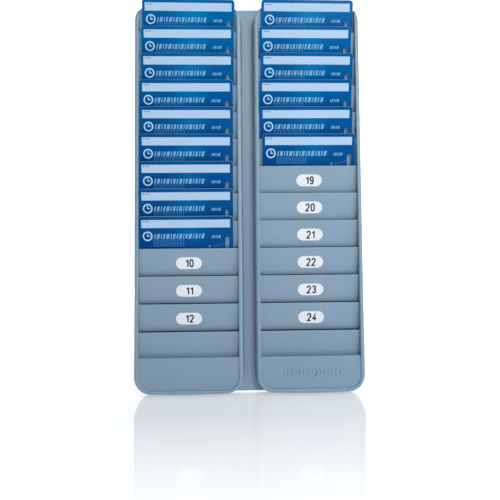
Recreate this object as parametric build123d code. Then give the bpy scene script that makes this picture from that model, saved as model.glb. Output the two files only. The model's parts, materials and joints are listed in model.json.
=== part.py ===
from build123d import *
import os
from math import atan, cos, degrees, radians, sin, tan

# A wall rack for proximity badges: two moulded columns of slanted pockets, screwed side by side to one
# back plate. The wall is the plane Y = 0, the reader stands on the -Y side, and Z is up.

# The two columns, as seen from the front
column_width = 96.8
column_height = 355.6
column_pitch = 109.6
column_depth = 16.0
corner_radius = 15.0
bottom_bow = 1.6
wall_flare = 1.5
side_rim = 3.4
top_rim = 3.4
bottom_rim = 3.7
rim_outer_round = 2.0
rim_inner_round = 0.9

# The back plate and what fastens it
plate_thickness = 2.0
plate_inset = 0.3
keyhole_height = 312.0
keyhole_entry_radius = 4.5
keyhole_neck_radius = 2.25
keyhole_travel = 11.0
screw_radius = 1.4
screw_length = 9.0
screw_head_radius = 3.0
screw_head_depth = 1.3
screw_head_play = 0.2
screw_sunk = 0.1
cross_length = 3.2
cross_width = 0.8
cross_depth = 1.6
screw_offset_x = 36.0
screw_top_z = 166.0
screw_bottom_z = -162.0
boss_radius = 4.0
boss_hole_radius = 1.5
screw_hole_radius = 1.7

# The pockets: leaf n is the back of pocket n and the front of pocket n - 1
pocket_count = 12
pocket_pitch = 25.0
second_leaf_top = 152.0
leaf_tilt = 11.0
leaf_thickness = 1.6
leaf_recess = 3.0
leaf_edge_round = 0.6
groove_depth = 1.2
groove_play = 0.1
relief_rise = 10.0
pocket_depth = 24.6
ledge_thickness = 1.6
ledge_gap = 0.3

# The plain panel below the last pocket
panel_top = -145.5
panel_recess = 1.6
panel_thickness = 2.0
last_leaf_length = 28.5

# The plain mark moulded on the right column's panel: a ring with two hands, between rows of bars
mark_ring_radius = 5.2
mark_line = 1.3
mark_hand = 2.6
mark_bar_widths = [1.4, 2.4, 1.4, 2.0, 2.6, 1.4]
mark_bar_height = 5.0
mark_bar_gap = 1.6
mark_relief = 0.8
mark_chamfer = 0.4
mark_shift = 1.5
mark_z = -159.5

# The badges, of the usual card size, with a strap slot at one end
badge_width = 85.6
badge_height = 53.98
badge_thickness = 1.8
badge_corner = 3.18
badge_edge_round = 0.3
strap_slot_length = 16.0
strap_slot_width = 3.5
strap_slot_inset = 5.5
badge_front_gap = 0.35

# The antenna inlay in the back of each badge
inlay_width = 71.8
inlay_height = 45.8
inlay_corner = 2.0
inlay_shift = -4.3
carrier_thickness = 0.5
coil_thickness = 0.3
coil_band = 4.0
coil_margin = 3.0
chip_size = 6.0
track_width = 1.2
inlay_play = 0.1

# The number labels stuck on the leaves
label_length = 23.5
label_height = 11.0
label_thickness = 0.2
label_drop = 13.4
label_shifts = {"left": 0.0, "right": 1.2}

# How each badge happens to sit: pocket, sideways offset, and lean in degrees, clockwise from the front
left_badges = [
    (1, 0.25, 0.5),
    (2, -0.3, 0.2),
    (3, -0.5, 0.1),
    (4, -1.6, 0.1),
    (5, -1.6, 0.25),
    (6, -1.9, 0.2),
    (7, -2.0, 0.1),
    (8, -2.05, 0.0),
    (9, -2.05, -0.05),
]
right_badges = [
    (1, 0.8, 0.4),
    (2, -1.0, 0.2),
    (3, 0.0, 0.3),
    (4, -1.5, 0.2),
    (5, -1.1, 0.0),
    (6, 0.8, 0.1),
]

# Worked out from the sizes above
tilt = radians(leaf_tilt)
opening_width = column_width - 2 * side_rim
opening_top = column_height / 2 - top_rim
opening_bottom = -column_height / 2 + bottom_rim
opening_corner = corner_radius - side_rim
rim_front = -plate_thickness - column_depth
leaf_front = rim_front + leaf_recess
pocket_gap = pocket_pitch * sin(tilt) - leaf_thickness
leaf_length = pocket_pitch * cos(tilt) + pocket_depth + ledge_gap + ledge_thickness
column_centres = {"left": -column_pitch / 2, "right": column_pitch / 2}
overlap = 0.5


def leaf_top(number):
    """Height of the top edge of a leaf, counted from 1 at the top."""
    return second_leaf_top - pocket_pitch * (number - 2)


def leaf_point(number, down, back):
    """Point (Y, Z) on a leaf's section: down along its slope and back through its thickness."""
    y = leaf_front + down * sin(tilt) + back * cos(tilt)
    z = leaf_top(number) - down * cos(tilt) + back * sin(tilt)
    return (y, z)


def leaf_plane(number, x, down, back):
    """Plane on a leaf's slope that faces the reader, with its local Y axis up the slope."""
    y, z = leaf_point(number, down, back)
    return Plane(origin=(x, y, z), x_dir=(1, 0, 0), z_dir=(0, -cos(tilt), -sin(tilt)))


def section_bar(points, x_from, x_to):
    """Bar along X with the given section of (Y, Z) points."""
    section = make_face(Polyline(*points, close=True))
    return extrude(Plane.YZ.offset(x_from) * section, amount=x_to - x_from)


def front_plane(y):
    """Plane at the given Y that faces the reader: its local axes are X and Z."""
    return Plane.XZ.offset(-y)


def bar_section(number, length, thickness, start=0.0, shift=0.0):
    """Section of a plain slanted slab on a leaf's slope."""
    return [
        leaf_point(number, start, shift),
        leaf_point(number, start, shift + thickness),
        leaf_point(number, length, shift + thickness),
        leaf_point(number, length, shift),
    ]


def column_outline(y, growth):
    """Outline of a column with its bowed lower edge, grown all round."""
    half_width = column_width / 2 + growth
    top = column_height / 2 + growth
    side_bottom = -column_height / 2 - growth + bottom_bow
    left_foot = (-half_width, side_bottom)
    right_foot = (half_width, side_bottom)
    sides = Polyline(left_foot, (-half_width, top), (half_width, top), right_foot)
    bow = ThreePointArc(right_foot, (0, side_bottom - bottom_bow), left_foot)
    outline = make_face([*sides.edges(), bow])
    return front_plane(y) * fillet(outline.vertices(), corner_radius + growth)


def opening_block(y_back, y_front, growth=0.0):
    """Block that fills the column's opening between two depths."""
    height = opening_top - opening_bottom + 2 * growth
    middle = (opening_top + opening_bottom) / 2
    outline = RectangleRounded(opening_width + 2 * growth, height, opening_corner + growth)
    return extrude(front_plane(y_back) * Pos(0, middle) * outline, amount=y_back - y_front)


def edges_at_front(solid, y):
    """The edges of a solid that lie wholly in the plane at this Y."""
    found = []
    for edge in solid.edges():
        box = edge.bounding_box()
        if abs(box.min.Y - y) < 0.01 and box.size.Y < 0.01:
            found.append(edge)
    return found


def column_surround():
    """The four flared outer walls of a column, with their rounded rim."""
    base = column_outline(-plate_thickness, wall_flare)
    taper = degrees(atan(wall_flare / column_depth))
    body = extrude(base, amount=column_depth, taper=taper)
    body = fillet(edges_at_front(body, rim_front), rim_outer_round)
    body -= opening_block(0.0, rim_front - 1.0)
    inner_edges = []
    for edge in edges_at_front(body, rim_front):
        box = edge.bounding_box()
        if max(abs(box.min.X), abs(box.max.X)) < opening_width / 2 + 0.1:
            if box.max.Z < opening_top + 0.1 and box.min.Z > opening_bottom - 0.1:
                inner_edges.append(edge)
    return fillet(inner_edges, rim_inner_round)


def first_leaf():
    """The fixed leaf behind the first pocket, with the ledge its badge stands on."""
    half = opening_width / 2 + overlap
    slab = section_bar(bar_section(1, leaf_length, leaf_thickness), -half, half)
    ledge = section_bar(ledge_section(1), -half, half)
    return (slab + ledge) & opening_block(-plate_thickness, rim_front + 1.0, overlap)


def ledge_section(number):
    """Section of the ledge that reaches forward from a leaf's lower end to the leaf in front."""
    return [
        leaf_point(number, leaf_length, leaf_thickness / 2),
        leaf_point(number, leaf_length, ledge_gap - pocket_gap),
        leaf_point(number, leaf_length - ledge_thickness, ledge_gap - pocket_gap),
        leaf_point(number, leaf_length - ledge_thickness, leaf_thickness / 2),
    ]


def lower_panel():
    """The blank last leaf, stepping forward into the plain panel that closes the column's foot."""
    half = opening_width / 2 + overlap
    last = pocket_count + 1
    front = rim_front + panel_recess
    leaf = section_bar(bar_section(last, last_leaf_length, leaf_thickness), -half, half)
    leaf = fillet(leaf.edges().filter_by(Axis.X).sort_by(Axis.Z)[-2:], leaf_edge_round)
    step_back = leaf_front + (leaf_top(last) - panel_top) * tan(tilt) + leaf_thickness / 2
    step = [
        (front, panel_top),
        (step_back, panel_top),
        (step_back, panel_top - panel_thickness),
        (front + panel_thickness, panel_top - panel_thickness),
        (front + panel_thickness, opening_bottom - overlap),
        (front, opening_bottom - overlap),
    ]
    panel = section_bar(step, -half, half)
    panel = fillet(panel.edges().filter_by(Axis.X).group_by(Axis.Z)[-1].sort_by(Axis.Y)[0], leaf_edge_round)
    return (leaf + panel) & opening_block(-plate_thickness, rim_front + 1.0, overlap)


def screw_places():
    """The four screw positions (X, Z) of one column, about its centre line."""
    return [(x, z) for x in (-screw_offset_x, screw_offset_x) for z in (screw_top_z, screw_bottom_z)]


def column_bosses():
    """The four screw bosses that stand on the back of the column's panels."""
    bosses = []
    for x, z in screw_places():
        if z > 0:
            front = leaf_front + (leaf_top(1) - z) * tan(tilt) + leaf_thickness
        else:
            front = rim_front + panel_recess + panel_thickness
        reach = -plate_thickness - front + overlap
        bosses.append(extrude(front_plane(-plate_thickness) * Pos(x, z) * Circle(boss_radius), amount=reach))
    return bosses


def boss_holes():
    """The blind pilot holes of the four bosses."""
    depth = screw_length - plate_thickness + overlap
    return [
        extrude(front_plane(-plate_thickness) * Pos(x, z) * Circle(boss_hole_radius), amount=depth)
        for x, z in screw_places()
    ]


def groove_cuts():
    """The slanted grooves in the side walls, open at the back, that take the ends of the loose leaves."""
    inner = opening_width / 2 - overlap
    outer = opening_width / 2 + groove_depth
    run_out = (-plate_thickness - leaf_front) / sin(tilt) + leaf_thickness
    width = leaf_thickness + 2 * groove_play
    cuts = []
    for number in range(2, pocket_count + 1):
        section = bar_section(number, run_out, width, start=-groove_play, shift=-groove_play)
        cuts.append(section_bar(section, -outer, -inner))
        cuts.append(section_bar(section, inner, outer))
    return cuts


def top_relief():
    """Cut in front of the first leaf, so that the first badge can lean out over the top rim."""
    half = opening_width / 2
    reach = column_depth
    section = bar_section(1, pocket_pitch, reach, start=-relief_rise, shift=-reach)
    return section_bar(section, -half, half)


def moulded_mark():
    """A plain raised ring with two hands, between two rows of raised bars, all with chamfered edges."""
    mark = Circle(mark_ring_radius) - Circle(mark_ring_radius - mark_line)
    mark += Pos(0, mark_hand / 2) * Rectangle(mark_line, mark_hand)
    mark += Pos(mark_hand / 3, 0) * Rectangle(mark_hand * 2 / 3 + mark_line, mark_line)
    reach = mark_ring_radius
    for width in mark_bar_widths:
        reach += mark_bar_gap
        for side in (-1, 1):
            mark += Pos(side * (reach + width / 2), 0) * Rectangle(width, mark_bar_height)
        reach += width
    panel_front = rim_front + panel_recess
    place = front_plane(panel_front + overlap) * Pos(mark_shift, mark_z)
    relief = extrude(place * mark, amount=overlap + mark_relief)
    return chamfer(edges_at_front(relief, panel_front - mark_relief), mark_chamfer)


def column_frame(with_mark):
    """One moulded column: surround, first leaf, lower panel, bosses and grooves."""
    frame = column_surround() + first_leaf() + lower_panel() - top_relief()
    if with_mark:
        frame += moulded_mark()
    for boss in column_bosses():
        frame += boss
    for cut in [*boss_holes(), *groove_cuts()]:
        frame -= cut
    return frame.solids().sort_by(SortBy.VOLUME)[-1]


def pocket_leaf(number):
    """One loose leaf: a slanted plate with rounded top edges and a ledge along its lower end."""
    half = opening_width / 2 + groove_depth - groove_play
    ledge_half = opening_width / 2 - groove_play
    plate = section_bar(bar_section(number, leaf_length, leaf_thickness), -half, half)
    plate = fillet(plate.edges().filter_by(Axis.X).sort_by(Axis.Z)[-2:], leaf_edge_round)
    return plate + section_bar(ledge_section(number), -ledge_half, ledge_half)


def number_labels(shift):
    """The twelve rounded paper labels of one column."""
    labels = []
    for number in range(1, pocket_count + 1):
        plane = leaf_plane(number, shift, label_drop, 0.0)
        labels.append(extrude(plane * SlotOverall(label_length, label_height), amount=label_thickness))
    return labels


def keyhole(x, z):
    """Keyhole through the plate: a round entry for the wall screw's head, with a narrow neck above it."""
    entry = Circle(keyhole_entry_radius)
    neck = Pos(0, keyhole_travel / 2) * Rectangle(2 * keyhole_neck_radius, keyhole_travel)
    end = Pos(0, keyhole_travel) * Circle(keyhole_neck_radius)
    return extrude(front_plane(0.0) * Pos(x, z) * (entry + neck + end), amount=plate_thickness)


def plate_screw_hole(x, z):
    """Countersunk hole through the plate, open to the wall side."""
    hole = extrude(front_plane(0.0) * Pos(x, z) * Circle(screw_hole_radius), amount=plate_thickness)
    sink_depth = screw_head_depth + screw_head_play
    sink_radius = screw_head_radius + screw_head_play
    sink = Cone(sink_radius, screw_hole_radius, sink_depth, align=(Align.CENTER, Align.CENTER, Align.MIN))
    return hole + front_plane(0.0) * Pos(x, z, 0) * sink


def back_plate():
    """The flat plate behind both columns, which shows as a strip between them."""
    growth = wall_flare - plate_inset
    width = column_pitch + column_width + 2 * growth
    height = column_height + 2 * growth
    outline = RectangleRounded(width, height, corner_radius + growth)
    plate = extrude(front_plane(0.0) * outline, amount=plate_thickness)
    for centre in column_centres.values():
        for z in (-keyhole_height / 2, keyhole_height / 2):
            plate -= keyhole(centre, z)
        for x, z in screw_places():
            plate -= plate_screw_hole(centre + x, z)
    return plate


def column_screw(x, z):
    """Countersunk screw through the plate into a boss, with a cross recess."""
    align = (Align.CENTER, Align.CENTER, Align.MIN)
    head = Cone(screw_head_radius, screw_radius, screw_head_depth, align=align)
    shank = Cylinder(screw_radius, screw_length - screw_sunk, align=align)
    recess = Box(cross_length, cross_width, cross_depth) + Box(cross_width, cross_length, cross_depth)
    return front_plane(-screw_sunk) * Pos(x, z, 0) * (head + shank - recess)


def column_screws():
    """All eight identical screws."""
    return [column_screw(centre + x, z) for centre in column_centres.values() for x, z in screw_places()]


def badge_plane(centre, pocket, offset, lean):
    """Plane of a badge's front face: its origin is the middle of the badge's lower edge."""
    down = pocket_depth
    back = leaf_thickness + badge_front_gap
    seat = leaf_plane(pocket + 1, centre + offset, down, back)
    lift = badge_width / 2 * sin(radians(abs(lean)))
    return seat * Pos(0, lift, 0) * Rot(0, 0, -lean)


def badge_shell(place):
    """The printed badge body, hollowed from behind for its inlay and pierced by the strap slot."""
    outline = Pos(0, badge_height / 2) * RectangleRounded(badge_width, badge_height, badge_corner)
    card = extrude(outline, amount=-badge_thickness)
    card = fillet(card.faces().filter_by(Axis.Z).edges(), badge_edge_round)
    slot_x = badge_width / 2 - strap_slot_inset
    slot = Pos(slot_x, badge_height / 2) * Rot(0, 0, 90) * SlotOverall(strap_slot_length, strap_slot_width)
    card -= extrude(slot, amount=-badge_thickness)
    recess_depth = carrier_thickness + coil_thickness + inlay_play
    recess = Pos(inlay_shift, badge_height / 2, -badge_thickness) * RectangleRounded(
        inlay_width + 2 * inlay_play, inlay_height + 2 * inlay_play, inlay_corner + inlay_play
    )
    return place * (card - extrude(recess, amount=recess_depth))


def antenna_inlay(place):
    """The carrier sheet that closes the badge's back, with its coil and chip raised inside."""
    middle = Pos(inlay_shift, badge_height / 2, -badge_thickness)
    outline = RectangleRounded(inlay_width, inlay_height, inlay_corner)
    sheet = extrude(middle * outline, amount=carrier_thickness)
    coil_width = inlay_width - 2 * coil_margin
    coil_height = inlay_height - 2 * coil_margin
    coil = RectangleRounded(coil_width, coil_height, coil_band)
    coil -= RectangleRounded(coil_width - 2 * coil_band, coil_height - 2 * coil_band, coil_band / 2)
    raised = coil_thickness + carrier_thickness
    chip_place = Pos(coil_width / 2 - coil_band - chip_size, 0)
    track_place = Pos(coil_width / 2 - coil_band - chip_size / 2, 0)
    track = track_place * Rectangle(chip_size + coil_band, track_width)
    traces = extrude(middle * (coil + chip_place * Rectangle(chip_size, chip_size) + track), amount=raised)
    return place * (sheet + traces)


def write(node, *shapes):
    """Write one node's solids to its STEP file."""
    solids = [solid for shape in shapes for solid in shape.solids()]
    shape = solids[0] if len(solids) == 1 else Compound(children=solids)
    export_step(shape, f"parts/{node}.step")


def write_column(side, centre, badges, first_number):
    """Write every piece of one column; badge nodes carry the number of their pocket."""
    place = Pos(centre, 0, 0)
    write(f"{side}_column_frame", place * column_frame(with_mark=side == "right"))
    for number in range(2, pocket_count + 1):
        write(f"{side}_pocket_leaf_{number:02d}", place * pocket_leaf(number))
    write(f"{side}_number_labels", *[place * label for label in number_labels(label_shifts[side])])
    for pocket, offset, lean in badges:
        seat = badge_plane(centre, pocket, offset, lean)
        label = first_number + pocket - 1
        write(f"badge_{label:02d}_shell", badge_shell(seat))
        write(f"badge_{label:02d}_antenna_inlay", antenna_inlay(seat))


os.makedirs("parts", exist_ok=True)
write("back_plate", back_plate())
write("column_screws", *column_screws())
write_column("left", column_centres["left"], left_badges, 1)
write_column("right", column_centres["right"], right_badges, pocket_count + 1)
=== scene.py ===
import json
import math

import bmesh
import bpy
from mathutils import Matrix, Vector, geometry


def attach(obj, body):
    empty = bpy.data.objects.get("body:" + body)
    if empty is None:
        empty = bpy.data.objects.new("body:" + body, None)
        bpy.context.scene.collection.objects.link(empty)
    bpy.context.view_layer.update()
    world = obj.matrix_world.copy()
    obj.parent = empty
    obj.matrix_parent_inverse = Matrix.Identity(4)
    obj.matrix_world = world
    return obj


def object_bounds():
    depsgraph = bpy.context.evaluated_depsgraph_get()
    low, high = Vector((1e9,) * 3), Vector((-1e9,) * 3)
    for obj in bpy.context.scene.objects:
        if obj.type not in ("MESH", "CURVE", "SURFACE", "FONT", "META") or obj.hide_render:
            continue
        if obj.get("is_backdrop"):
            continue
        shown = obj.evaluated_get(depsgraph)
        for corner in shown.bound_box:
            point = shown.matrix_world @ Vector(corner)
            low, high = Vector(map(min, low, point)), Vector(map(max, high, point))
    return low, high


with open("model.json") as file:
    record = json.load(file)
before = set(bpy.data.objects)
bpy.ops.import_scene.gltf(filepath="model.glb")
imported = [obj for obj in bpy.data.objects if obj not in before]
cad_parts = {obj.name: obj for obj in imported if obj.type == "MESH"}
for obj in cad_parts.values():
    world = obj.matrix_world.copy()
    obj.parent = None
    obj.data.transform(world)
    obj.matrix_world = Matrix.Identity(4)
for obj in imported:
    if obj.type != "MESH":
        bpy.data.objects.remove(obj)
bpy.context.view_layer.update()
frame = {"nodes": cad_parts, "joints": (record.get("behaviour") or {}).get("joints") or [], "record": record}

# The rack hangs on the plane Y = 0 with its front towards -Y. Lengths are in metres.
MM = 0.001
nodes = frame["nodes"]
record_colours = {m["slot"]: m["base_color"] for m in frame["record"]["materials"]}
joint_of = {j["child"]: j for j in frame["joints"]}
badge_bodies = sorted(joint_of)

# The leaves and badges lie in one slope: to the right, up it, and out of it towards the reader
RIGHT = Vector((1, 0, 0))
slope_up = Vector(joint_of[badge_bodies[0]]["axis"]).normalized()
slope_out = RIGHT.cross(slope_up)


# ---------------------------------------------------------------- small helpers for shader trees

# How far forward of the wall a leaf's face lies where it passes behind the next leaf's top edge, how
# sharply the painted shade starts there, and how far up the leaf and how strongly a little of it spreads
POCKET_MOUTH = -10.26 * MM
MOUTH_SHARPNESS = 0.04 * MM
MOUTH_SPREAD, MOUTH_SPREAD_SHADE = 0.9 * MM, 0.16

# The cosine between a face's own direction and the slope's, from not a front at all to fully one
LEAF_FRONT = (0.90, 0.97)
CARD_FRONT = (0.80, 0.95)

# The largest of a direction's X, Y and Z parts, from a rounded edge to a flat face, and its Y part,
# from a wall's round corner to a front edge, where the painted highlight goes
FILLET_TURN = (0.80, 0.96)
FILLET_FORWARD = (0.15, 0.40)

# The cosine between a surface's direction softened at its edges and its exact one, from fully an edge
# to a flat face, for moulded plastic and for paper
PLASTIC_EDGE = (0.80, 0.99)
PAPER_EDGE = (0.70, 0.99)
EDGE_SAMPLES = 6


class Shader:
    """A node material that is built one node at a time."""

    def __init__(self, name):
        self.material = bpy.data.materials.new(name)
        self.material.use_nodes = True
        self.tree = self.material.node_tree
        self.tree.nodes.clear()
        self.surface = self.add("BsdfPrincipled")
        output = self.add("OutputMaterial")
        self.join(self.surface, "BSDF", output, "Surface")
        coordinates = self.add("TexCoord")
        self.place = (coordinates, "Object")
        self.facing = (coordinates, "Normal")

    def add(self, kind, values=None, **settings):
        """Adds a node, sets its own settings, and sets the input sockets named in values."""
        node = self.tree.nodes.new("ShaderNode" + kind)
        for key, value in settings.items():
            setattr(node, key, value)
        for key, value in (values or {}).items():
            node.inputs[key].default_value = value
        return node

    def join(self, source, output, target, socket):
        """Links one node's output to another's input."""
        self.tree.links.new(source.outputs[output], target.inputs[socket])

    def feed(self, pair, target, socket):
        """Links a (node, output) pair to an input."""
        self.join(pair[0], pair[1], target, socket)

    def noise(self, scale, detail=2.0, roughness=0.5, stretch=None):
        """A noise field in the row frame, its scale in features per metre, optionally stretched."""
        field = self.add("TexNoise", {"Scale": scale, "Detail": detail, "Roughness": roughness})
        place = self.place
        if stretch:
            mapping = self.add("Mapping", {"Scale": stretch})
            self.feed(place, mapping, "Vector")
            place = (mapping, "Vector")
        self.feed(place, field, "Vector")
        return (field, "Fac")

    def ramp(self, pair, low, high, start=0.0, end=1.0):
        """Maps a value from start..end to low..high, clamped."""
        node = self.add("MapRange", {"From Min": start, "From Max": end, "To Min": low, "To Max": high})
        self.feed(pair, node, "Value")
        return (node, "Result")

    def mix(self, factor, first, second):
        """Mixes two colours. The factor and each colour is a plain value or a pair."""
        node = self.add("Mix", data_type="RGBA")
        sockets = [s for s in node.inputs if s.enabled]
        for socket, value in zip(sockets, (factor, first, second)):
            if isinstance(value, tuple) and hasattr(value[0], "outputs"):
                self.tree.links.new(value[0].outputs[value[1]], socket)
            else:
                socket.default_value = value
        output = next(i for i, s in enumerate(node.outputs) if s.enabled)
        return (node, output)

    def mottle(self, field, colour, dark, light):
        """A colour that a noise field makes darker and lighter."""
        return self.mix(field, shade(colour, dark), shade(colour, light))

    def math(self, operation, first, second=None):
        """One maths node; each argument is a number or a pair."""
        node = self.add("Math", operation=operation)
        for index, value in enumerate((first, second)):
            if value is None:
                continue
            if isinstance(value, tuple):
                self.tree.links.new(value[0].outputs[value[1]], node.inputs[index])
            else:
                node.inputs[index].default_value = value
        return (node, "Value")

    def paint(self, pair):
        """Links a colour to the surface."""
        self.feed(pair, self.surface, "Base Color")

    def roughen(self, field, low, high, start=0.0, end=1.0):
        """Lets a noise field vary the surface's roughness between two values."""
        self.feed(self.ramp(field, low, high, start, end), self.surface, "Roughness")

    def fix(self, socket, value):
        """Sets one of the surface's own sockets."""
        self.surface.inputs[socket].default_value = value

    def bump(self, height, strength, distance):
        """Adds a bump to the surface's normal, over any bump already there."""
        node = self.add("Bump", {"Strength": strength, "Distance": distance})
        self.feed(height, node, "Height")
        socket = self.surface.inputs["Normal"]
        if socket.links:
            link = socket.links[0]
            self.tree.links.new(link.from_socket, node.inputs["Normal"])
        self.join(node, "Normal", self.surface, "Normal")

    def front_mask(self, low, high):
        """1 where a surface faces out of the pockets, 0 where it faces elsewhere."""
        front = self.add("VectorMath", {1: tuple(slope_out)}, operation="DOT_PRODUCT")
        self.feed(self.facing, front, 0)
        return self.ramp((front, "Value"), 0.0, 1.0, low, high)

    def painted_pocket_shade_mask(self):
        """Where painted shade goes: rises where a leaf runs down behind the next one, and is near 1 inside
        the pockets.
        """
        axes = self.add("SeparateXYZ")
        self.feed(self.place, axes, "Vector")
        depth = (axes, "Y")
        inside = self.ramp(depth, 0.0, 1.0, POCKET_MOUTH, POCKET_MOUTH + MOUTH_SHARPNESS)
        near = self.ramp(depth, 0.0, MOUTH_SPREAD_SHADE, POCKET_MOUTH - MOUTH_SPREAD, POCKET_MOUTH)
        return self.math("MULTIPLY", self.math("MAXIMUM", inside, near), self.front_mask(*LEAF_FRONT))

    def fillet_highlight_mask(self):
        """Where a painted highlight goes: 1 on the rounded edges towards the front, 0 on flat faces and on
        the walls' round corners.
        """
        size = self.add("VectorMath", operation="ABSOLUTE")
        self.feed(self.facing, size, 0)
        parts = self.add("SeparateXYZ")
        self.join(size, "Vector", parts, "Vector")
        largest = self.math("MAXIMUM", self.math("MAXIMUM", (parts, "X"), (parts, "Y")), (parts, "Z"))
        rounded = self.ramp(largest, 1.0, 0.0, *FILLET_TURN)
        return self.math("MULTIPLY", rounded, self.ramp((parts, "Y"), 0.0, 1.0, *FILLET_FORWARD))

    def edge_mask(self, radius, cosines):
        """Near 1 on convex and concave edges, 0 on flat faces."""
        rounded = self.add("Bevel", {"Radius": radius}, samples=EDGE_SAMPLES)
        exact = self.add("NewGeometry")
        product = self.add("VectorMath", operation="DOT_PRODUCT")
        self.join(rounded, "Normal", product, 0)
        self.join(exact, "Normal", product, 1)
        return self.ramp((product, "Value"), 1.0, 0.0, *cosines)


def shade(colour, factor):
    """A colour made lighter or darker, with alpha 1."""
    return tuple(min(1.0, c * factor) for c in colour[:3]) + (1.0,)


# ---------------------------------------------------------------- materials

# How strongly edges are made lighter, part rubbed wear and part painted highlight, how light they get,
# and how dark the painted shade makes a leaf inside a pocket
EDGE_WEAR_AND_HIGHLIGHT, WEAR_AND_HIGHLIGHT_LIGHTNESS, POCKET_PAINTED_SHADE = 0.60, 1.8, 0.04


def moulded_plastic(name, colour, roughness, pockets=False):
    """Satin moulded plastic: faint cloudiness, spark-eroded grain, edges lightened by rubbed wear and a
    painted highlight, and fine scuffs; with pockets, painted shade inside them.
    """
    shader = Shader(name)
    clouds = shader.noise(scale=14.0, detail=3.0)
    cloudy = shader.mottle(clouds, colour, dark=0.94, light=1.06)
    # The edges made lighter: part rubbed wear, part a painted highlight on the rounded front edges
    worn_and_highlit_edges = shader.math("MAXIMUM", shader.edge_mask(0.5 * MM, PLASTIC_EDGE), shader.fillet_highlight_mask())
    patches = shader.ramp(shader.noise(scale=160.0), low=0.25, high=1.0, start=0.35, end=0.65)
    wear_and_highlight = shader.math("MULTIPLY", shader.math("MULTIPLY", worn_and_highlit_edges, patches), EDGE_WEAR_AND_HIGHLIGHT)
    plastic_and_painted_light = shader.mix(wear_and_highlight, cloudy, shade(colour, WEAR_AND_HIGHLIGHT_LIGHTNESS))
    # Painted shade: a leaf's face made nearly black inside the pockets
    if pockets:
        plastic_and_painted_light = shader.mix(shader.painted_pocket_shade_mask(), plastic_and_painted_light, shade(colour, POCKET_PAINTED_SHADE))
    shader.paint(plastic_and_painted_light)
    scuffs = shader.noise(scale=90.0, detail=4.0, roughness=0.65, stretch=(1.0, 1.0, 0.15))
    shader.roughen(scuffs, low=roughness - 0.05, high=roughness + 0.09, start=0.3, end=0.7)
    shader.fix("Specular IOR Level", 0.50)
    shader.bump(shader.noise(scale=3200.0), strength=0.20, distance=0.03 * MM)
    shader.bump(shader.noise(scale=420.0, detail=1.0), strength=0.10, distance=0.03 * MM)
    return shader.material


# The blues of a badge's front: below, above, to the right, in the painted highlight patch, and its speckles
CARD_LOW = (0.000, 0.045, 0.205)
CARD_HIGH = (0.000, 0.076, 0.262)
CARD_RIGHT = (0.000, 0.090, 0.285)
CARD_HIGHLIGHT = (0.000, 0.150, 0.390)
CARD_SPECKLE = (0.000, 0.160, 0.390)

# The card under the print, as it shows at its edges, and the paler painted light on the walls of the strap
# slot
CARD_CORE = (0.28, 0.43, 0.60)
SLOT_WALL_PAINTED_LIGHT = (0.62, 0.78, 0.92, 1)

# Where on a badge's front, from its middle, the blue changes upwards and to the right, and how
# strongly to the right
BLUE_RISE = (-4 * MM, 16 * MM)
BLUE_SIDE, BLUE_SIDE_SHARE = (5 * MM, 43 * MM), 0.6

# The middle and half axes of the painted highlight patch, and how strong it is; the same places for an
# ellipse just larger than the strap slot, and the squared distance at which its painted light starts to fade
HIGHLIGHT_MIDDLE, HIGHLIGHT_REACH, HIGHLIGHT_SHARE = (3 * MM, 14 * MM), (22 * MM, 18 * MM), 0.8
SLOT_MIDDLE, SLOT_REACH, SLOT_FADE = (37.3 * MM, 0.0), (3.3 * MM, 10.0 * MM), 0.9

# Painted light, lighter higher up the rack: how deep the print of the lower badges is, how light that of
# the top one, and the heights between
TONE_LOW, TONE_HIGH = 0.90, 1.42
TONE_FROM, TONE_TO = 20 * MM, 160 * MM


def painted_light_tone(colour, height):
    """A badge's print colour with painted light: the higher its place in the rack, the lighter and greener
    the blue.
    """
    share = min(1.0, max(0.0, (height - TONE_FROM) / (TONE_TO - TONE_FROM)))
    tone = TONE_LOW + (TONE_HIGH - TONE_LOW) * share
    return (colour[0], colour[1] * tone, colour[2] * (1 + (tone - 1) / 2), 1)


def card_axes(shader, card):
    """The place on a badge's front: X to its right and Y up it, from its middle."""
    inverse = card.inverted()
    local = shader.add("Mapping", vector_type="POINT")
    local.inputs["Location"].default_value = inverse.to_translation()
    local.inputs["Rotation"].default_value = inverse.to_euler("XYZ")
    shader.feed(shader.place, local, "Vector")
    axes = shader.add("SeparateXYZ")
    shader.join(local, "Vector", axes, "Vector")
    return axes


def ellipse(shader, axes, middle, reach):
    """The squared distance from a place on a badge, 1 on the ellipse with these half axes."""
    across = shader.math("MULTIPLY", shader.math("SUBTRACT", (axes, "X"), middle[0]), 1 / reach[0])
    up = shader.math("MULTIPLY", shader.math("SUBTRACT", (axes, "Y"), middle[1]), 1 / reach[1])
    return shader.math("ADD", shader.math("MULTIPLY", across, across), shader.math("MULTIPLY", up, up))


def card_print(shader, axes, height):
    """The blue front: deeper below, lighter to the right, with a painted highlight patch and painted light
    by its height in the rack, and finely speckled.
    """
    colours = (CARD_LOW, CARD_HIGH, CARD_RIGHT, CARD_HIGHLIGHT, CARD_SPECKLE)
    low, high, right, painted_highlight, speckled = (painted_light_tone(colour, height) for colour in colours)
    blue = shader.mix(shader.ramp((axes, "Y"), 0.0, 1.0, *BLUE_RISE), low, high)
    blue = shader.mix(shader.ramp((axes, "X"), 0.0, BLUE_SIDE_SHARE, *BLUE_SIDE), blue, right)
    distance = shader.math("SQRT", ellipse(shader, axes, HIGHLIGHT_MIDDLE, HIGHLIGHT_REACH))
    blue = shader.mix(shader.ramp(distance, HIGHLIGHT_SHARE, 0.0), blue, painted_highlight)
    speckle = shader.ramp(shader.noise(scale=900.0), low=0.0, high=0.06, start=0.45, end=0.75)
    return shader.mix(speckle, blue, speckled)


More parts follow.
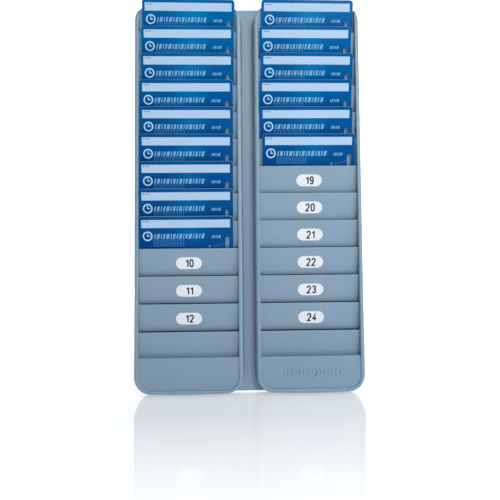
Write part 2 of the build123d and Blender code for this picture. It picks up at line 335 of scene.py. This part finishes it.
def card_core(shader, axes):
    """The pale card at a badge's edges, with painted light making the walls of the strap slot paler still.
    """
    core = shader.mottle(shader.noise(scale=60.0), CARD_CORE, dark=1.0, light=1.15)
    slot = ellipse(shader, axes, SLOT_MIDDLE, SLOT_REACH)
    return shader.mix(shader.ramp(slot, 1.0, 0.0, SLOT_FADE, 1.0), core, SLOT_WALL_PAINTED_LIGHT)


def badge_material(name, card):
    """A pale card printed blue on its front, under a clear laminate, with painted light on the blue and on
    the strap slot's walls.
    """
    shader = Shader(name)
    axes = card_axes(shader, card)
    front = card_print(shader, axes, card.translation.z)
    shader.paint(shader.mix(shader.front_mask(*CARD_FRONT), card_core(shader, axes), front))
    smears = shader.noise(scale=70.0, detail=4.0, roughness=0.6)
    shader.roughen(smears, low=0.12, high=0.22, start=0.3, end=0.7)
    shader.fix("Specular IOR Level", 0.03)
    shader.bump(shader.noise(scale=240.0), strength=0.10, distance=0.04 * MM)
    return shader.material


def ink_material(name, colour, spread, roughness):
    """Printed ink: slightly uneven in tone, on a faintly rippled laminate."""
    shader = Shader(name)
    tone = shader.noise(scale=500.0, detail=3.0)
    shader.paint(shader.mottle(tone, colour, dark=1 - spread, light=1 + spread))
    shader.roughen(shader.noise(scale=80.0, detail=3.0), low=roughness - 0.05, high=roughness + 0.08)
    shader.fix("Specular IOR Level", 0.10)
    shader.bump(shader.noise(scale=1500.0), strength=0.12, distance=0.02 * MM)
    return shader.material


def paper_material(name, colour):
    """Matt label paper: short fibres, soft dirt along the cut edge."""
    shader = Shader(name)
    fibres = shader.noise(scale=1800.0, detail=4.0, roughness=0.7, stretch=(1.0, 1.0, 0.35))
    paper = shader.mottle(fibres, colour, dark=0.93, light=1.05)
    dirt = shader.math("MULTIPLY", shader.edge_mask(0.35 * MM, PAPER_EDGE), 0.30)
    shader.paint(shader.mix(dirt, paper, shade(colour, 0.6)))
    shader.fix("Roughness", 0.62)
    shader.bump(fibres, strength=0.25, distance=0.02 * MM)
    return shader.material


def inlay_material(name, colour):
    """Matt sheet at the back of a badge, faintly mottled where the coil lies under it."""
    shader = Shader(name)
    shader.paint(shader.mottle(shader.noise(scale=220.0, detail=3.0), colour, dark=0.92, light=1.04))
    shader.roughen(shader.noise(scale=120.0), low=0.42, high=0.58)
    shader.bump(shader.noise(scale=900.0), strength=0.15, distance=0.03 * MM)
    return shader.material


def zinc_material(name, colour):
    """Zinc-plated steel: bright, spangled, with fine turning marks."""
    shader = Shader(name)
    shader.paint(shader.mottle(shader.noise(scale=600.0, detail=3.0), colour, dark=0.75, light=1.15))
    shader.fix("Metallic", 1.0)
    shader.roughen(shader.noise(scale=900.0), low=0.26, high=0.44)
    turning = shader.noise(scale=2500.0, stretch=(1.0, 0.1, 1.0))
    shader.bump(turning, strength=0.15, distance=0.03 * MM)
    return shader.material


def give(node, material):
    """Gives a CAD node its finished material."""
    for slot in node.material_slots:
        slot.material = material


# ---------------------------------------------------------------- geometry helpers

INK_THICKNESS = 0.05 * MM
INK_SUNK = 0.02 * MM

# A ribbon's outer corner reaches out to at most the half width divided by this
SHARPEST_CORNER = 0.5


def slope_matrix(points, right, up):
    """Matrix from the front face of a flat piece (origin at its middle) to the row frame."""
    middle = slope_out * max(p.dot(slope_out) for p in points)
    for axis in (right, up):
        reach = [p.dot(axis) for p in points]
        middle += axis * (min(reach) + max(reach)) / 2
    return Matrix.Translation(middle) @ Matrix((right, up, slope_out)).transposed().to_4x4()


def card_plane(node):
    """Matrix from a badge's own front face (X right, Y up it, Z out) to the row frame."""
    points = [v.co for v in nodes[node].data.vertices]
    flat = [Vector((p.x, p.dot(slope_up))) for p in points]
    hull = [flat[i] for i in geometry.convex_hull_2d(flat)]
    # A badge leans a little, so its own X is taken from the longest side of its outline
    sides = [b - a for a, b in zip(hull, hull[1:] + hull[:1])]
    longest = max(sides, key=lambda side: side.length).normalized()
    longest *= 1 if longest.x > 0 else -1
    right = RIGHT * longest.x + slope_up * longest.y
    return slope_matrix(points, right, slope_out.cross(right))


def add_face(mesh, points):
    """Adds one flat face through (x, y) points."""
    mesh.faces.new([mesh.verts.new((x, y, 0.0)) for x, y in points])


def add_ring(mesh, outer, inner):
    """Adds a flat band between two outlines with the same number of points."""
    rings = [[mesh.verts.new((x, y, 0.0)) for x, y in loop] for loop in (outer, inner)]
    count = len(outer)
    for i in range(count):
        j = (i + 1) % count
        mesh.faces.new((rings[0][i], rings[0][j], rings[1][j], rings[1][i]))


def regular(x, y, radius, sides, turn=0.0):
    """Points of a regular polygon, anticlockwise, its first corner at the given angle."""
    turns = [turn + 2 * math.pi * i / sides for i in range(sides)]
    return [(x + radius * math.cos(t), y + radius * math.sin(t)) for t in turns]


def bar(x0, y0, x1, y1, width):
    """Points of a straight bar between two points."""
    along = Vector((x1 - x0, y1 - y0)).normalized() * width / 2
    side = Vector((-along.y, along.x))
    return [
        (x0 + side.x, y0 + side.y),
        (x0 - side.x, y0 - side.y),
        (x1 - side.x, y1 - side.y),
        (x1 + side.x, y1 + side.y),
    ]


def ribbon(mesh, points, width, closed=False):
    """Adds a flat band of constant width along a line of (x, y) points."""
    line = [Vector(p) for p in points]
    count = len(line)
    pairs = []
    for i, here in enumerate(line):
        before = line[i - 1] if closed or i > 0 else here
        after = line[(i + 1) % count] if closed or i < count - 1 else here
        into = (here - before).normalized()
        out = (after - here).normalized()
        along = (into + out).normalized()
        side = Vector((-along.y, along.x))
        straight = out if out.length else into
        spread = width / 2 / max(SHARPEST_CORNER, side.dot(Vector((-straight.y, straight.x))))
        pairs.append([mesh.verts.new((*(here + side * s), 0.0)) for s in (spread, -spread)])
    for i in range(count if closed else count - 1):
        j = (i + 1) % count
        mesh.faces.new((pairs[i][0], pairs[i][1], pairs[j][1], pairs[j][0]))


def thin_layer(mesh, place, thickness):
    """Thickens flat faces, sinks them slightly and moves them onto the surface that place gives."""
    bmesh.ops.recalc_face_normals(mesh, faces=mesh.faces)
    for face in mesh.faces:
        if face.normal.z < 0:
            face.normal_flip()
    solid = bmesh.ops.extrude_face_region(mesh, geom=mesh.faces[:], use_keep_orig=True)
    lifted = [v for v in solid["geom"] if isinstance(v, bmesh.types.BMVert)]
    bmesh.ops.translate(mesh, verts=lifted, vec=(0, 0, thickness))
    bmesh.ops.translate(mesh, verts=mesh.verts[:], vec=(0, 0, -INK_SUNK))
    bmesh.ops.recalc_face_normals(mesh, faces=mesh.faces)
    bmesh.ops.transform(mesh, matrix=place, verts=mesh.verts[:])


def new_object(name, mesh, material):
    """Makes an object of a mesh."""
    data = bpy.data.meshes.new(name)
    mesh.to_mesh(data)
    mesh.free()
    data.materials.append(material)
    made = bpy.data.objects.new(name, data)
    bpy.context.scene.collection.objects.link(made)
    return made


def add_piece(name, mesh, body, material):
    """Makes a piece of a mesh, riding a body."""
    piece = new_object(name, mesh, material)
    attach(piece, body)


def printed_piece(name, mesh, place, body, material, thickness=INK_THICKNESS):
    """Turns flat faces into a thin printed layer riding a body."""
    thin_layer(mesh, place, thickness)
    add_piece(name, mesh, body, material)


# ---------------------------------------------------------------- what is printed on a badge

CARD_WIDTH = 85.6 * MM
CARD_HEIGHT = 53.98 * MM

# Places on a badge, from its top left corner (STRIP_RIGHT is from its right side)
STRIP_LEFT, STRIP_RIGHT, STRIP_TOP, STRIP_HEIGHT = 2.6 * MM, 3.0 * MM, 3.2 * MM, 7.3 * MM
CAPTION_X, CAPTION_Y = STRIP_LEFT + 1.2 * MM, STRIP_TOP + 1.5 * MM
DIAL_X, DIAL_Y, DIAL_RADIUS = 8.0 * MM, 18.0 * MM, 4.4 * MM
BARS_FROM, BARS_TO, BARS_Y, BARS_HEIGHT = 13.6 * MM, 60.5 * MM, 18.2 * MM, 4.4 * MM
SMALL_FROM, SMALL_TO, SMALL_Y, SMALL_HEIGHT = 65.5 * MM, 75.0 * MM, 18.9 * MM, 2.6 * MM
SIGN_FROM, SIGN_STEP, SIGN_Y, SIGN_SIDE, SIGN_LINE = 16.4 * MM, 7.1 * MM, 24.2 * MM, 5.4 * MM, 0.55 * MM
DOT_X, DOT_Y, DOT_RADIUS = 64.0 * MM, 27.6 * MM, 1.2 * MM
SWEEP_FROM, SWEEP_TO, SWEEP_WIDTH = (67.0 * MM, 27.4 * MM), (77.6 * MM, 24.6 * MM), 0.35 * MM
SWEEP_STEPS = 12

# The caption's three bars
CAPTION_WIDTHS = (1.5 * MM, 1.0 * MM, 2.0 * MM)
CAPTION_HEIGHT, CAPTION_GAP, CAPTION_THICKNESS = 0.8 * MM, 0.5 * MM, 0.08 * MM

# The slanted bars: widths and gap at full height, sideways lean for each unit of height, and the
# least room that takes another bar
BAR_WIDTHS = (1.1 * MM, 2.3 * MM, 0.9 * MM, 1.6 * MM, 2.6 * MM, 1.0 * MM, 1.9 * MM)
BAR_GAP = 1.25 * MM
BAR_LEAN = 0.22
BAR_LEAST_ROOM = 1.2 * MM

# The dial's ring and hands, in dial radii
RING_INSIDE, HAND_WIDTH, LONG_HAND, SHORT_HAND = 0.74, 0.18, 0.58, 0.48
RING_POINTS, DOT_POINTS = 40, 24

# The shapes inside the signs, as sides and turn: a square, a circle, a diamond and a triangle
SIGN_SHAPES = [(4, math.pi / 4), (24, 0.0), (4, 0.0), (3, math.pi / 2)]
SIGN_SHAPE_SIZE = 0.26

# The inks
PALE_INK = (0.42, 0.66, 0.84)
MIDDLING_INK = (0.17, 0.38, 0.60)
FAINT_INK = (0.040, 0.21, 0.46)
STRIP_INK = (0.42, 0.57, 0.745)
CAPTION_INK = (0.10, 0.16, 0.24)


def at(x, y):
    """A place given from the card's top left corner, as card coordinates about its middle."""
    return (x - CARD_WIDTH / 2, CARD_HEIGHT / 2 - y)


def name_strip(number, place, body, material):
    """The pale strip on which the holder's name is written."""
    left, top = at(STRIP_LEFT, STRIP_TOP)
    right, bottom = at(CARD_WIDTH - STRIP_RIGHT, STRIP_TOP + STRIP_HEIGHT)
    mesh = bmesh.new()
    add_face(mesh, [(left, bottom), (right, bottom), (right, top), (left, top)])
    printed_piece(f"badge_{number}_name_strip", mesh, place, body, material)


def strip_caption(number, place, body, material):
    """Three tiny plain bars in the strip's corner, where its caption would be."""
    x, y = at(CAPTION_X, CAPTION_Y)
    mesh = bmesh.new()
    for width in CAPTION_WIDTHS:
        add_face(mesh, bar(x, y, x + width, y, CAPTION_HEIGHT))
        x += width + CAPTION_GAP
    name = f"badge_{number}_strip_mark"
    printed_piece(name, mesh, place, body, material, CAPTION_THICKNESS)


def slanted_bars(mesh, start, end, y, height):
    """A row of slanted plain bars of differing widths."""
    size = height / BARS_HEIGHT
    lean = BAR_LEAN * height
    x = start
    index = 0
    while x < end - BAR_LEAST_ROOM:
        width = min(BAR_WIDTHS[index % len(BAR_WIDTHS)] * size, end - x)
        left, bottom = at(x, y + height / 2)
        right, top = at(x + width, y - height / 2)
        add_face(mesh, [(left, bottom), (right, bottom), (right + lean, top), (left + lean, top)])
        x += width + BAR_GAP * size
        index += 1


def clock_roundel(mesh, x, y, radius):
    """A plain clock dial: a ring and two hands."""
    width = radius * HAND_WIDTH
    add_ring(mesh, regular(x, y, radius, RING_POINTS), regular(x, y, radius * RING_INSIDE, RING_POINTS))
    add_face(mesh, bar(x, y - width / 2, x, y + radius * LONG_HAND, width))
    add_face(mesh, bar(x + width / 2, y, x + radius * SHORT_HAND, y, width))


def signs(mesh):
    """Four small outlined squares, each with a plain shape in it."""
    for index, (sides, turn) in enumerate(SIGN_SHAPES):
        x, y = at(SIGN_FROM + index * SIGN_STEP, SIGN_Y)
        square = regular(x, y, SIGN_SIDE / math.sqrt(2), 4, math.pi / 4)
        ribbon(mesh, square, SIGN_LINE, closed=True)
        ribbon(mesh, regular(x, y, SIGN_SIDE * SIGN_SHAPE_SIZE, sides, turn), SIGN_LINE, closed=True)


def sweep(mesh):
    """A thin line rising to the right, away from the dot."""
    x0, y0 = at(*SWEEP_FROM)
    x1, y1 = at(*SWEEP_TO)
    steps = [i / SWEEP_STEPS for i in range(SWEEP_STEPS + 1)]
    ribbon(mesh, [(x0 + (x1 - x0) * t, y0 + (y1 - y0) * t ** 2) for t in steps], SWEEP_WIDTH)


def bright_print(number, place, body, material):
    """The roundel, in pale ink."""
    mesh = bmesh.new()
    clock_roundel(mesh, *at(DIAL_X, DIAL_Y), DIAL_RADIUS)
    printed_piece(f"badge_{number}_roundel", mesh, place, body, material)


def middling_print(number, place, body, material):
    """The two rows of slanted bars, in a middling ink."""
    mesh = bmesh.new()
    slanted_bars(mesh, BARS_FROM, BARS_TO, BARS_Y, BARS_HEIGHT)
    slanted_bars(mesh, SMALL_FROM, SMALL_TO, SMALL_Y, SMALL_HEIGHT)
    printed_piece(f"badge_{number}_bars", mesh, place, body, material)


def faint_print(number, place, body, material):
    """The outlined signs, the dot and the thin line, in a faint ink."""
    mesh = bmesh.new()
    signs(mesh)
    add_face(mesh, regular(*at(DOT_X, DOT_Y), DOT_RADIUS, DOT_POINTS))
    sweep(mesh)
    printed_piece(f"badge_{number}_signs", mesh, place, body, material)


def finish_badges():
    """Gives every badge its material and its print."""
    pale = ink_material("badge_ink", PALE_INK, spread=0.06, roughness=0.34)
    middling = ink_material("badge_middle_ink", MIDDLING_INK, spread=0.08, roughness=0.34)
    faint = ink_material("badge_faint_ink", FAINT_INK, spread=0.10, roughness=0.34)
    strip = ink_material("name_strip", STRIP_INK, spread=0.03, roughness=0.48)
    dark = ink_material("strip_mark", CAPTION_INK, spread=0.10, roughness=0.50)
    inlay = inlay_material("inlay_plastic", record_colours["inlay_plastic"])
    for body in badge_bodies:
        number = body.split("_")[1]
        place = card_plane(f"{body}_shell")
        give(nodes[f"{body}_shell"], badge_material(f"badge_plastic_{number}", place))
        give(nodes[f"{body}_antenna_inlay"], inlay)
        name_strip(number, place, body, strip)
        strip_caption(number, place, body, dark)
        bright_print(number, place, body, pale)
        middling_print(number, place, body, middling)
        faint_print(number, place, body, faint)


# ---------------------------------------------------------------- the numbered labels

DIGIT_HEIGHT = 7.7 * MM
DIGIT_WIDTH = 4.0 * MM
ONE_WIDTH = 2.9 * MM
DIGIT_STROKE = 1.25 * MM
DIGIT_SPACING = 0.75 * MM
DIGITS_SHIFT = 0.6 * MM
NUMBER_INK = (0.012, 0.012, 0.016)

# The least space in height between two labels of a column
LABEL_SPACE = 5 * MM

# An arc is drawn as steps of about so many degrees, and at least so many of them
ARC_STEP, ARC_LEAST_STEPS = 12, 3

# The strokes of the figures, in a box 1 wide and 1 high. A stroke is a list of corners (x, y)
# and arcs (x, y, radius x, radius y, first angle, last angle).
FIGURES = {
    "0": [[(0.5, 0.70, 0.5, 0.30, 0, 180), (0.5, 0.30, 0.5, 0.30, 180, 360), (1.0, 0.70)]],
    "1": [[(1.0, 0.0), (1.0, 1.0)], [(0.95, 0.93), (0.55, 0.80), (0.0, 0.78)]],
    "2": [[(0.5, 0.72, 0.5, 0.28, 180, -40), (0.0, 0.0), (1.0, 0.0)]],
    "3": [[(0.5, 0.76, 0.46, 0.24, 160, -90), (0.5, 0.26, 0.5, 0.26, 90, -160)]],
    "4": [[(0.72, 0.0), (0.72, 1.0), (0.0, 0.27), (1.05, 0.27)]],
    "5": [[(0.93, 1.0), (0.12, 1.0), (0.04, 0.50), (0.5, 0.33, 0.5, 0.33, 130, -150)]],
    "6": [[(0.5, 0.68, 0.48, 0.32, 25, 180), (0.0, 0.33), (0.5, 0.30, 0.5, 0.30, 180, 530)]],
    "7": [[(0.0, 1.0), (1.0, 1.0), (0.35, 0.0)]],
    "8": [[(0.5, 0.77, 0.44, 0.23, -90, 270)], [(0.5, 0.27, 0.5, 0.27, 90, 450)]],
    "9": [[(0.5, 0.32, 0.48, 0.32, 205, 360), (1.0, 0.67), (0.5, 0.70, 0.5, 0.30, 0, 350)]],
}


def stroke_points(stroke):
    """The corners of one stroke, its arcs drawn out as short straight steps."""
    points = []
    for part in stroke:
        if len(part) == 2:
            points.append(part)
            continue
        x, y, reach_x, reach_y, first, last = part
        count = max(ARC_LEAST_STEPS, round(abs(last - first) / ARC_STEP))
        for i in range(count + 1):
            angle = math.radians(first + (last - first) * i / count)
            points.append((x + reach_x * math.cos(angle), y + reach_y * math.sin(angle)))
    return points


def number_mesh(text):
    """A number as flat strokes, its middle a little to the right of the origin."""
    widths = [ONE_WIDTH if figure == "1" else DIGIT_WIDTH for figure in text]
    left = DIGITS_SHIFT - (sum(widths) + DIGIT_SPACING * (len(text) - 1)) / 2
    inset = DIGIT_STROKE / 2
    tall = DIGIT_HEIGHT - DIGIT_STROKE
    mesh = bmesh.new()
    for figure, width in zip(text, widths):
        wide = width - DIGIT_STROKE
        for stroke in FIGURES[figure]:
            line = [(left + inset + x * wide, (y - 0.5) * tall) for x, y in stroke_points(stroke)]
            ribbon(mesh, line, DIGIT_STROKE)
        left += width + DIGIT_SPACING
    return mesh


def label_places(node):
    """The middle of each label in a column, from the top down, as a matrix in the label's own plane."""
    points = sorted((v.co for v in nodes[node].data.vertices), key=lambda p: -p.z)
    groups = [[points[0]]]
    for point in points[1:]:
        if groups[-1][-1].z - point.z > LABEL_SPACE:
            groups.append([])
        groups[-1].append(point)
    return [slope_matrix(group, RIGHT, slope_up) for group in groups]


def number_labels(side, first, paper, ink):
    """The printed numbers of one column, as one thin layer of ink."""
    label_node = f"{side}_number_labels"
    give(nodes[label_node], paper)
    whole = bmesh.new()
    for index, place in enumerate(label_places(label_node)):
        part = number_mesh(str(first + index))
        thin_layer(part, place, INK_THICKNESS)
        data = bpy.data.meshes.new("number")
        part.to_mesh(data)
        part.free()
        whole.from_mesh(data)
        bpy.data.meshes.remove(data)
    add_piece(f"{side}_label_numbers", whole, "rack", ink)


# ---------------------------------------------------------------- the rack

RACK_COLOUR, RACK_ROUGHNESS = (0.214, 0.320, 0.418), 0.34
PLATE_COLOUR, PLATE_ROUGHNESS = (0.240, 0.358, 0.460), 0.42

# The number on the highest label of each column
FIRST_NUMBERS = {"left": 1, "right": 13}


def finish_rack():
    """Gives the frames, leaves, plate, labels and screws their materials."""
    # The frames and leaves get painted shade inside the pockets
    plastic = moulded_plastic("rack_plastic", RACK_COLOUR, RACK_ROUGHNESS, pockets=True)
    plate = moulded_plastic("plate_plastic", PLATE_COLOUR, PLATE_ROUGHNESS)
    for name, node in nodes.items():
        if "column_frame" in name or "pocket_leaf" in name:
            give(node, plastic)
    give(nodes["back_plate"], plate)
    give(nodes["column_screws"], zinc_material("screw_steel", record_colours["screw_steel"]))
    paper = paper_material("label_paper", record_colours["label_paper"])
    ink = ink_material("label_ink", NUMBER_INK, spread=0.2, roughness=0.55)
    for side, first in FIRST_NUMBERS.items():
        number_labels(side, first, paper, ink)


# ---------------------------------------------------------------- floor, light and camera

# The camera: where it stands, where it looks, its roll in degrees, its lens and sensor in millimetres
# and its shift in picture widths
CAMERA_PLACE = Vector((-10.7, -469.41, -40.0)) * MM
CAMERA_FORWARD = Vector((0.02681, 1.0, 0.0505))
CAMERA_ROLL = -0.52
CAMERA_LENS = 35.93
CAMERA_SENSOR = 36.0
CAMERA_SHIFT = (-0.0008, -0.0718)

# The floor's profile: its front and back ends, the radius of its bend, the backdrop's height, and how
# far the floor lies below the rack; half its width at the wall plane, and how much wider it gets behind
FLOOR_FRONT, FLOOR_BACK, FLOOR_BEND, BACKDROP_TOP = -1.6, 0.9, 0.5, 1.5
FLOOR_GAP = 1.0 * MM
FLOOR_HALF_WIDTH, FLOOR_SPREAD = 0.62, 0.32
BEND_STEPS = 12

# The floor's own colour and light: in front of the rack, under it and on the backdrop, and the
# distances over which the light changes
FLOOR_DARK, FLOOR_LIGHT = (0.60, 0.61, 0.62, 1), (0.63, 0.64, 0.65, 1)
FRONT_GLOW, FLOOR_GLOW, BACKDROP_GLOW = 0.66, 0.38, 0.85
FRONT_FADE, BACK_FADE = (-0.22, -0.06), (0.15, 0.9)

# The surroundings: their colour, their light from the left and from the right, and how bright they look
WORLD_COLOUR = (0.93, 0.96, 1.0, 1)
WORLD_LEFT, WORLD_RIGHT, WORLD_SEEN = 0.04, 0.42, 0.9
WORLD_FADE = 0.8

# The lights, all aimed at the rack's middle, with their power in watts
KEY_PLACE, KEY_SIZE, KEY_POWER, KEY_COLOUR = (0.28, -1.15, 0.42), (0.32, 0.32), 5.5, (1, 1, 1)
TOP_PLACE, TOP_SIZE, TOP_POWER, TOP_COLOUR = (0.05, -0.75, 0.85), (0.3, 0.3), 2.2, (0.94, 0.97, 1.0)
SIDE_PLACE, SIDE_SIZE, SIDE_POWER, SIDE_COLOUR = (0.50, -0.50, 0.00), (0.3, 0.5), 1.0, (0.70, 0.86, 1.0)


def floor_material():
    """A white acrylic table, lit from within, that gives a faint clear reflection."""
    shader = Shader("studio_floor")
    shader.paint(shader.mix(shader.noise(scale=3.0), FLOOR_DARK, FLOOR_LIGHT))
    shader.roughen(shader.noise(scale=20.0), low=0.03, high=0.06)
    axes = shader.add("SeparateXYZ")
    shader.feed(shader.place, axes, "Vector")
    front = shader.ramp((axes, "Y"), FRONT_GLOW, FLOOR_GLOW, *FRONT_FADE)
    rear = shader.ramp((axes, "Y"), 0.0, BACKDROP_GLOW, *BACK_FADE)
    shader.feed(shader.math("ADD", front, rear), shader.surface, "Emission Strength")
    shader.fix("Emission Color", (1, 1, 1, 1))
    return shader.material


def floor_half_width(y):
    """Half the floor's width, just wide enough to fill the camera's view at each distance."""
    return FLOOR_HALF_WIDTH + FLOOR_SPREAD * max(0.0, y)


def studio_floor():
    """A plain white floor that curves up into a white backdrop well behind the rack."""
    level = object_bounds()[0].z - FLOOR_GAP
    profile = [(FLOOR_FRONT, level), (0.0, level), (FLOOR_BACK, level)]
    for step in range(1, BEND_STEPS + 1):
        angle = math.pi / 2 * step / BEND_STEPS
        y = FLOOR_BACK + FLOOR_BEND * math.sin(angle)
        profile.append((y, level + FLOOR_BEND * (1 - math.cos(angle))))
    profile.append((FLOOR_BACK + FLOOR_BEND, BACKDROP_TOP))
    mesh = bmesh.new()
    rows = [[mesh.verts.new((side * floor_half_width(y), y, z)) for y, z in profile] for side in (-1, 1)]
    for i in range(len(profile) - 1):
        face = mesh.faces.new((rows[0][i], rows[1][i], rows[1][i + 1], rows[0][i + 1]))
        face.smooth = True
    floor = new_object("studio_floor", mesh, floor_material())
    floor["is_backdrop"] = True


def area_light(name, place, size, power, colour):
    """A soft rectangular light aimed at the rack's middle."""
    data = bpy.data.lights.new(name, "AREA")
    data.shape = "RECTANGLE"
    data.size, data.size_y = size
    data.energy = power
    data.color = colour
    light = bpy.data.objects.new(name, data)
    light.location = place
    light.rotation_mode = "QUATERNION"
    light.rotation_quaternion = (-Vector(place)).to_track_quat("-Z", "Y")
    bpy.context.scene.collection.objects.link(light)


def studio_world():
    """Surroundings that look pale, but light the rack less from the left than from the right."""
    world = bpy.data.worlds.new("studio")
    world.use_nodes = True
    tree = world.node_tree
    background = tree.nodes["Background"]
    background.inputs["Color"].default_value = WORLD_COLOUR
    direction = tree.nodes.new("ShaderNodeTexCoord")
    axes = tree.nodes.new("ShaderNodeSeparateXYZ")
    fade = tree.nodes.new("ShaderNodeMapRange")
    fade.inputs["From Min"].default_value = -WORLD_FADE
    fade.inputs["From Max"].default_value = WORLD_FADE
    fade.inputs["To Min"].default_value = WORLD_LEFT
    fade.inputs["To Max"].default_value = WORLD_RIGHT
    tree.links.new(direction.outputs["Generated"], axes.inputs["Vector"])
    tree.links.new(axes.outputs["X"], fade.inputs["Value"])
    seen = tree.nodes.new("ShaderNodeLightPath")
    strength = tree.nodes.new("ShaderNodeMapRange")
    strength.inputs["To Max"].default_value = WORLD_SEEN
    tree.links.new(seen.outputs["Is Camera Ray"], strength.inputs["Value"])
    tree.links.new(fade.outputs["Result"], strength.inputs["To Min"])
    tree.links.new(strength.outputs["Result"], background.inputs["Strength"])
    bpy.context.scene.world = world


def studio_light():
    """A key from the right and above, a weak light from above and a weak bluish one from the side."""
    area_light("key", KEY_PLACE, KEY_SIZE, KEY_POWER, KEY_COLOUR)
    area_light("top", TOP_PLACE, TOP_SIZE, TOP_POWER, TOP_COLOUR)
    area_light("side", SIDE_PLACE, SIDE_SIZE, SIDE_POWER, SIDE_COLOUR)


def main_camera():
    """A camera in front of the rack and a little below its middle."""
    data = bpy.data.cameras.new("camera")
    data.lens = CAMERA_LENS
    data.sensor_width = CAMERA_SENSOR
    data.shift_x, data.shift_y = CAMERA_SHIFT
    camera = bpy.data.objects.new("camera", data)
    camera.location = CAMERA_PLACE
    camera.rotation_mode = "QUATERNION"
    level = CAMERA_FORWARD.to_track_quat("-Z", "Y")
    roll = Matrix.Rotation(math.radians(CAMERA_ROLL), 4, "Z").to_quaternion()
    camera.rotation_quaternion = level @ roll
    bpy.context.scene.collection.objects.link(camera)
    bpy.context.scene.camera = camera


finish_rack()
finish_badges()
studio_floor()
studio_light()
studio_world()
main_camera()
bpy.context.scene.view_settings.view_transform = "Standard"
